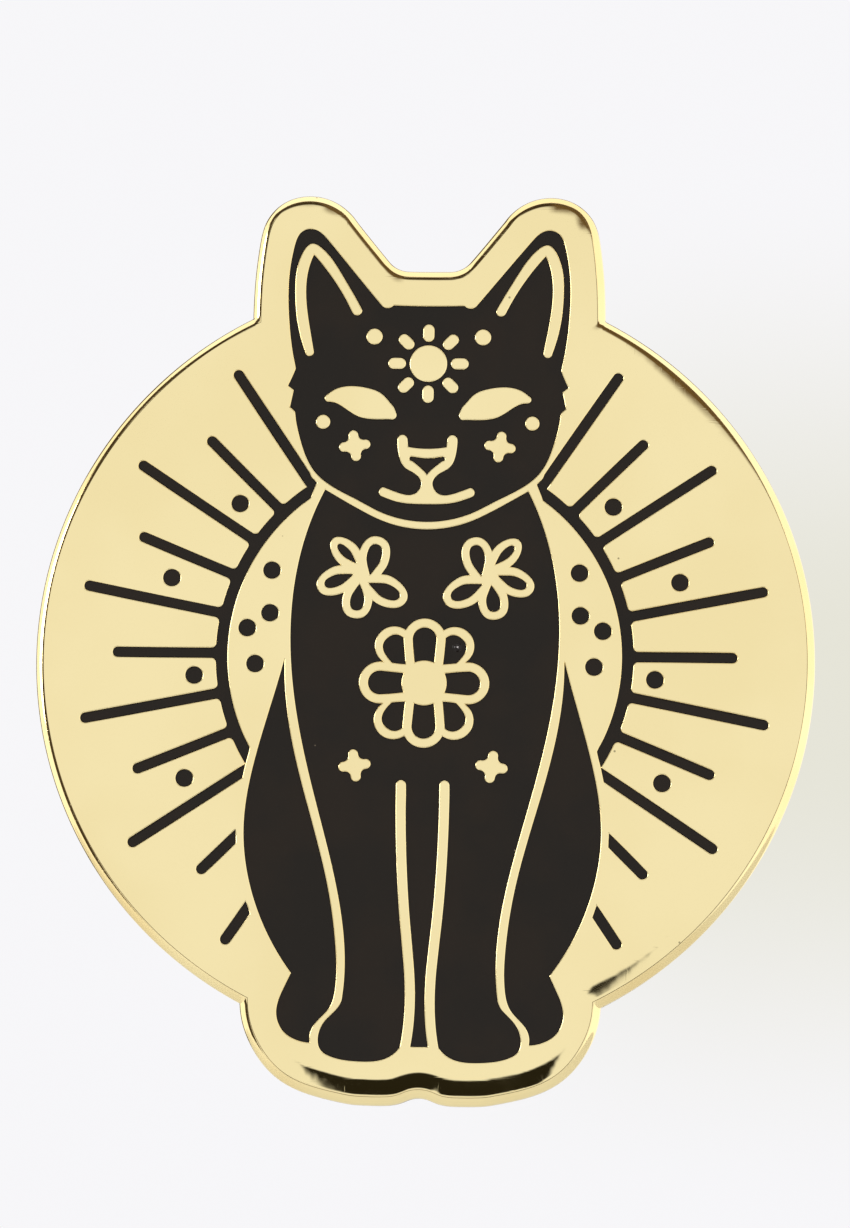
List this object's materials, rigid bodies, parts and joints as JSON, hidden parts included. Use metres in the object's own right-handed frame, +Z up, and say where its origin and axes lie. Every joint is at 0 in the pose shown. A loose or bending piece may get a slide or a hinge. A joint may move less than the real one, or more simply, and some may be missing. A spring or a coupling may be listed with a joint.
{
  "type": "enamel pin",
  "caption": "Gold-plated hard-enamel lapel pin of a seated black cat on a round sunburst disc, with posts and butterfly clutches behind.",
  "frame": {"origin": "centre of the round disc, on the flat back face of the badge", "axes": "+Z up the badge as worn, +Y out of the back along the posts, the enamelled face looks along -Y"},
  "size_m": [0.035, 0.0114, 0.0414],
  "materials": {
    "gold_plate": "mirror-polished pale gold plate over struck metal",
    "black_enamel": "glossy warm black hard enamel",
    "post_metal": "gold-plated post",
    "solder": "plated solder fillet",
    "clutch_brass": "stamped brass, bright",
    "clutch_spring": "spring brass strip, bright"
  },
  "bodies": {
    "badge": {"badge_plate": "gold_plate", "head_enamel": "black_enamel", "nose_enamel": "black_enamel", "body_enamel": "black_enamel", "centre_flower_petals": "black_enamel", "left_haunch_enamel": "black_enamel", "left_sunburst_enamel": "black_enamel", "left_lone_rays": "black_enamel", "left_halo_dots": "black_enamel", "left_flower_petals": "black_enamel", "left_post": "post_metal", "left_post_solder": "solder", "right_haunch_enamel": "black_enamel", "right_sunburst_enamel": "black_enamel", "right_lone_rays": "black_enamel", "right_halo_dots": "black_enamel", "right_flower_petals": "black_enamel", "right_post": "post_metal", "right_post_solder": "solder"},
    "left_clutch": {"left_clutch_cup": "clutch_brass", "left_clutch_spring": "clutch_spring"},
    "left_clutch_wing_l": {"left_clutch_wing_l": "clutch_spring"},
    "left_clutch_wing_r": {"left_clutch_wing_r": "clutch_spring"},
    "right_clutch": {"right_clutch_cup": "clutch_brass", "right_clutch_spring": "clutch_spring"},
    "right_clutch_wing_l": {"right_clutch_wing_l": "clutch_spring"},
    "right_clutch_wing_r": {"right_clutch_wing_r": "clutch_spring"}
  },
  "joints": [
    {"name": "left_clutch_slide", "type": "slide", "parent": "badge", "child": "left_clutch", "axis": [0, 1, 0], "range_m": [-0.0025, 0.0125]},
    {"name": "left_clutch_wing_l_squeeze", "type": "hinge", "parent": "left_clutch", "child": "left_clutch_wing_l", "pos_m": [-0.01125, 0.0053, 0.001], "axis": [0, 0, -1], "range_deg": [0, 9], "stiffness_Nm_per_rad": 0.05, "springref_deg": -4.58},
    {"name": "left_clutch_wing_r_squeeze", "type": "hinge", "parent": "left_clutch", "child": "left_clutch_wing_r", "pos_m": [-0.00575, 0.0053, 0.001], "axis": [0, 0, 1], "range_deg": [0, 9], "stiffness_Nm_per_rad": 0.05, "springref_deg": -4.58},
    {"name": "right_clutch_slide", "type": "slide", "parent": "badge", "child": "right_clutch", "axis": [0, 1, 0], "range_m": [-0.0025, 0.0125]},
    {"name": "right_clutch_wing_l_squeeze", "type": "hinge", "parent": "right_clutch", "child": "right_clutch_wing_l", "pos_m": [0.00575, 0.0053, 0.001], "axis": [0, 0, -1], "range_deg": [0, 9], "stiffness_Nm_per_rad": 0.05, "springref_deg": -4.58},
    {"name": "right_clutch_wing_r_squeeze", "type": "hinge", "parent": "right_clutch", "child": "right_clutch_wing_r", "pos_m": [0.01125, 0.0053, 0.001], "axis": [0, 0, 1], "range_deg": [0, 9], "stiffness_Nm_per_rad": 0.05, "springref_deg": -4.58}
  ]
}
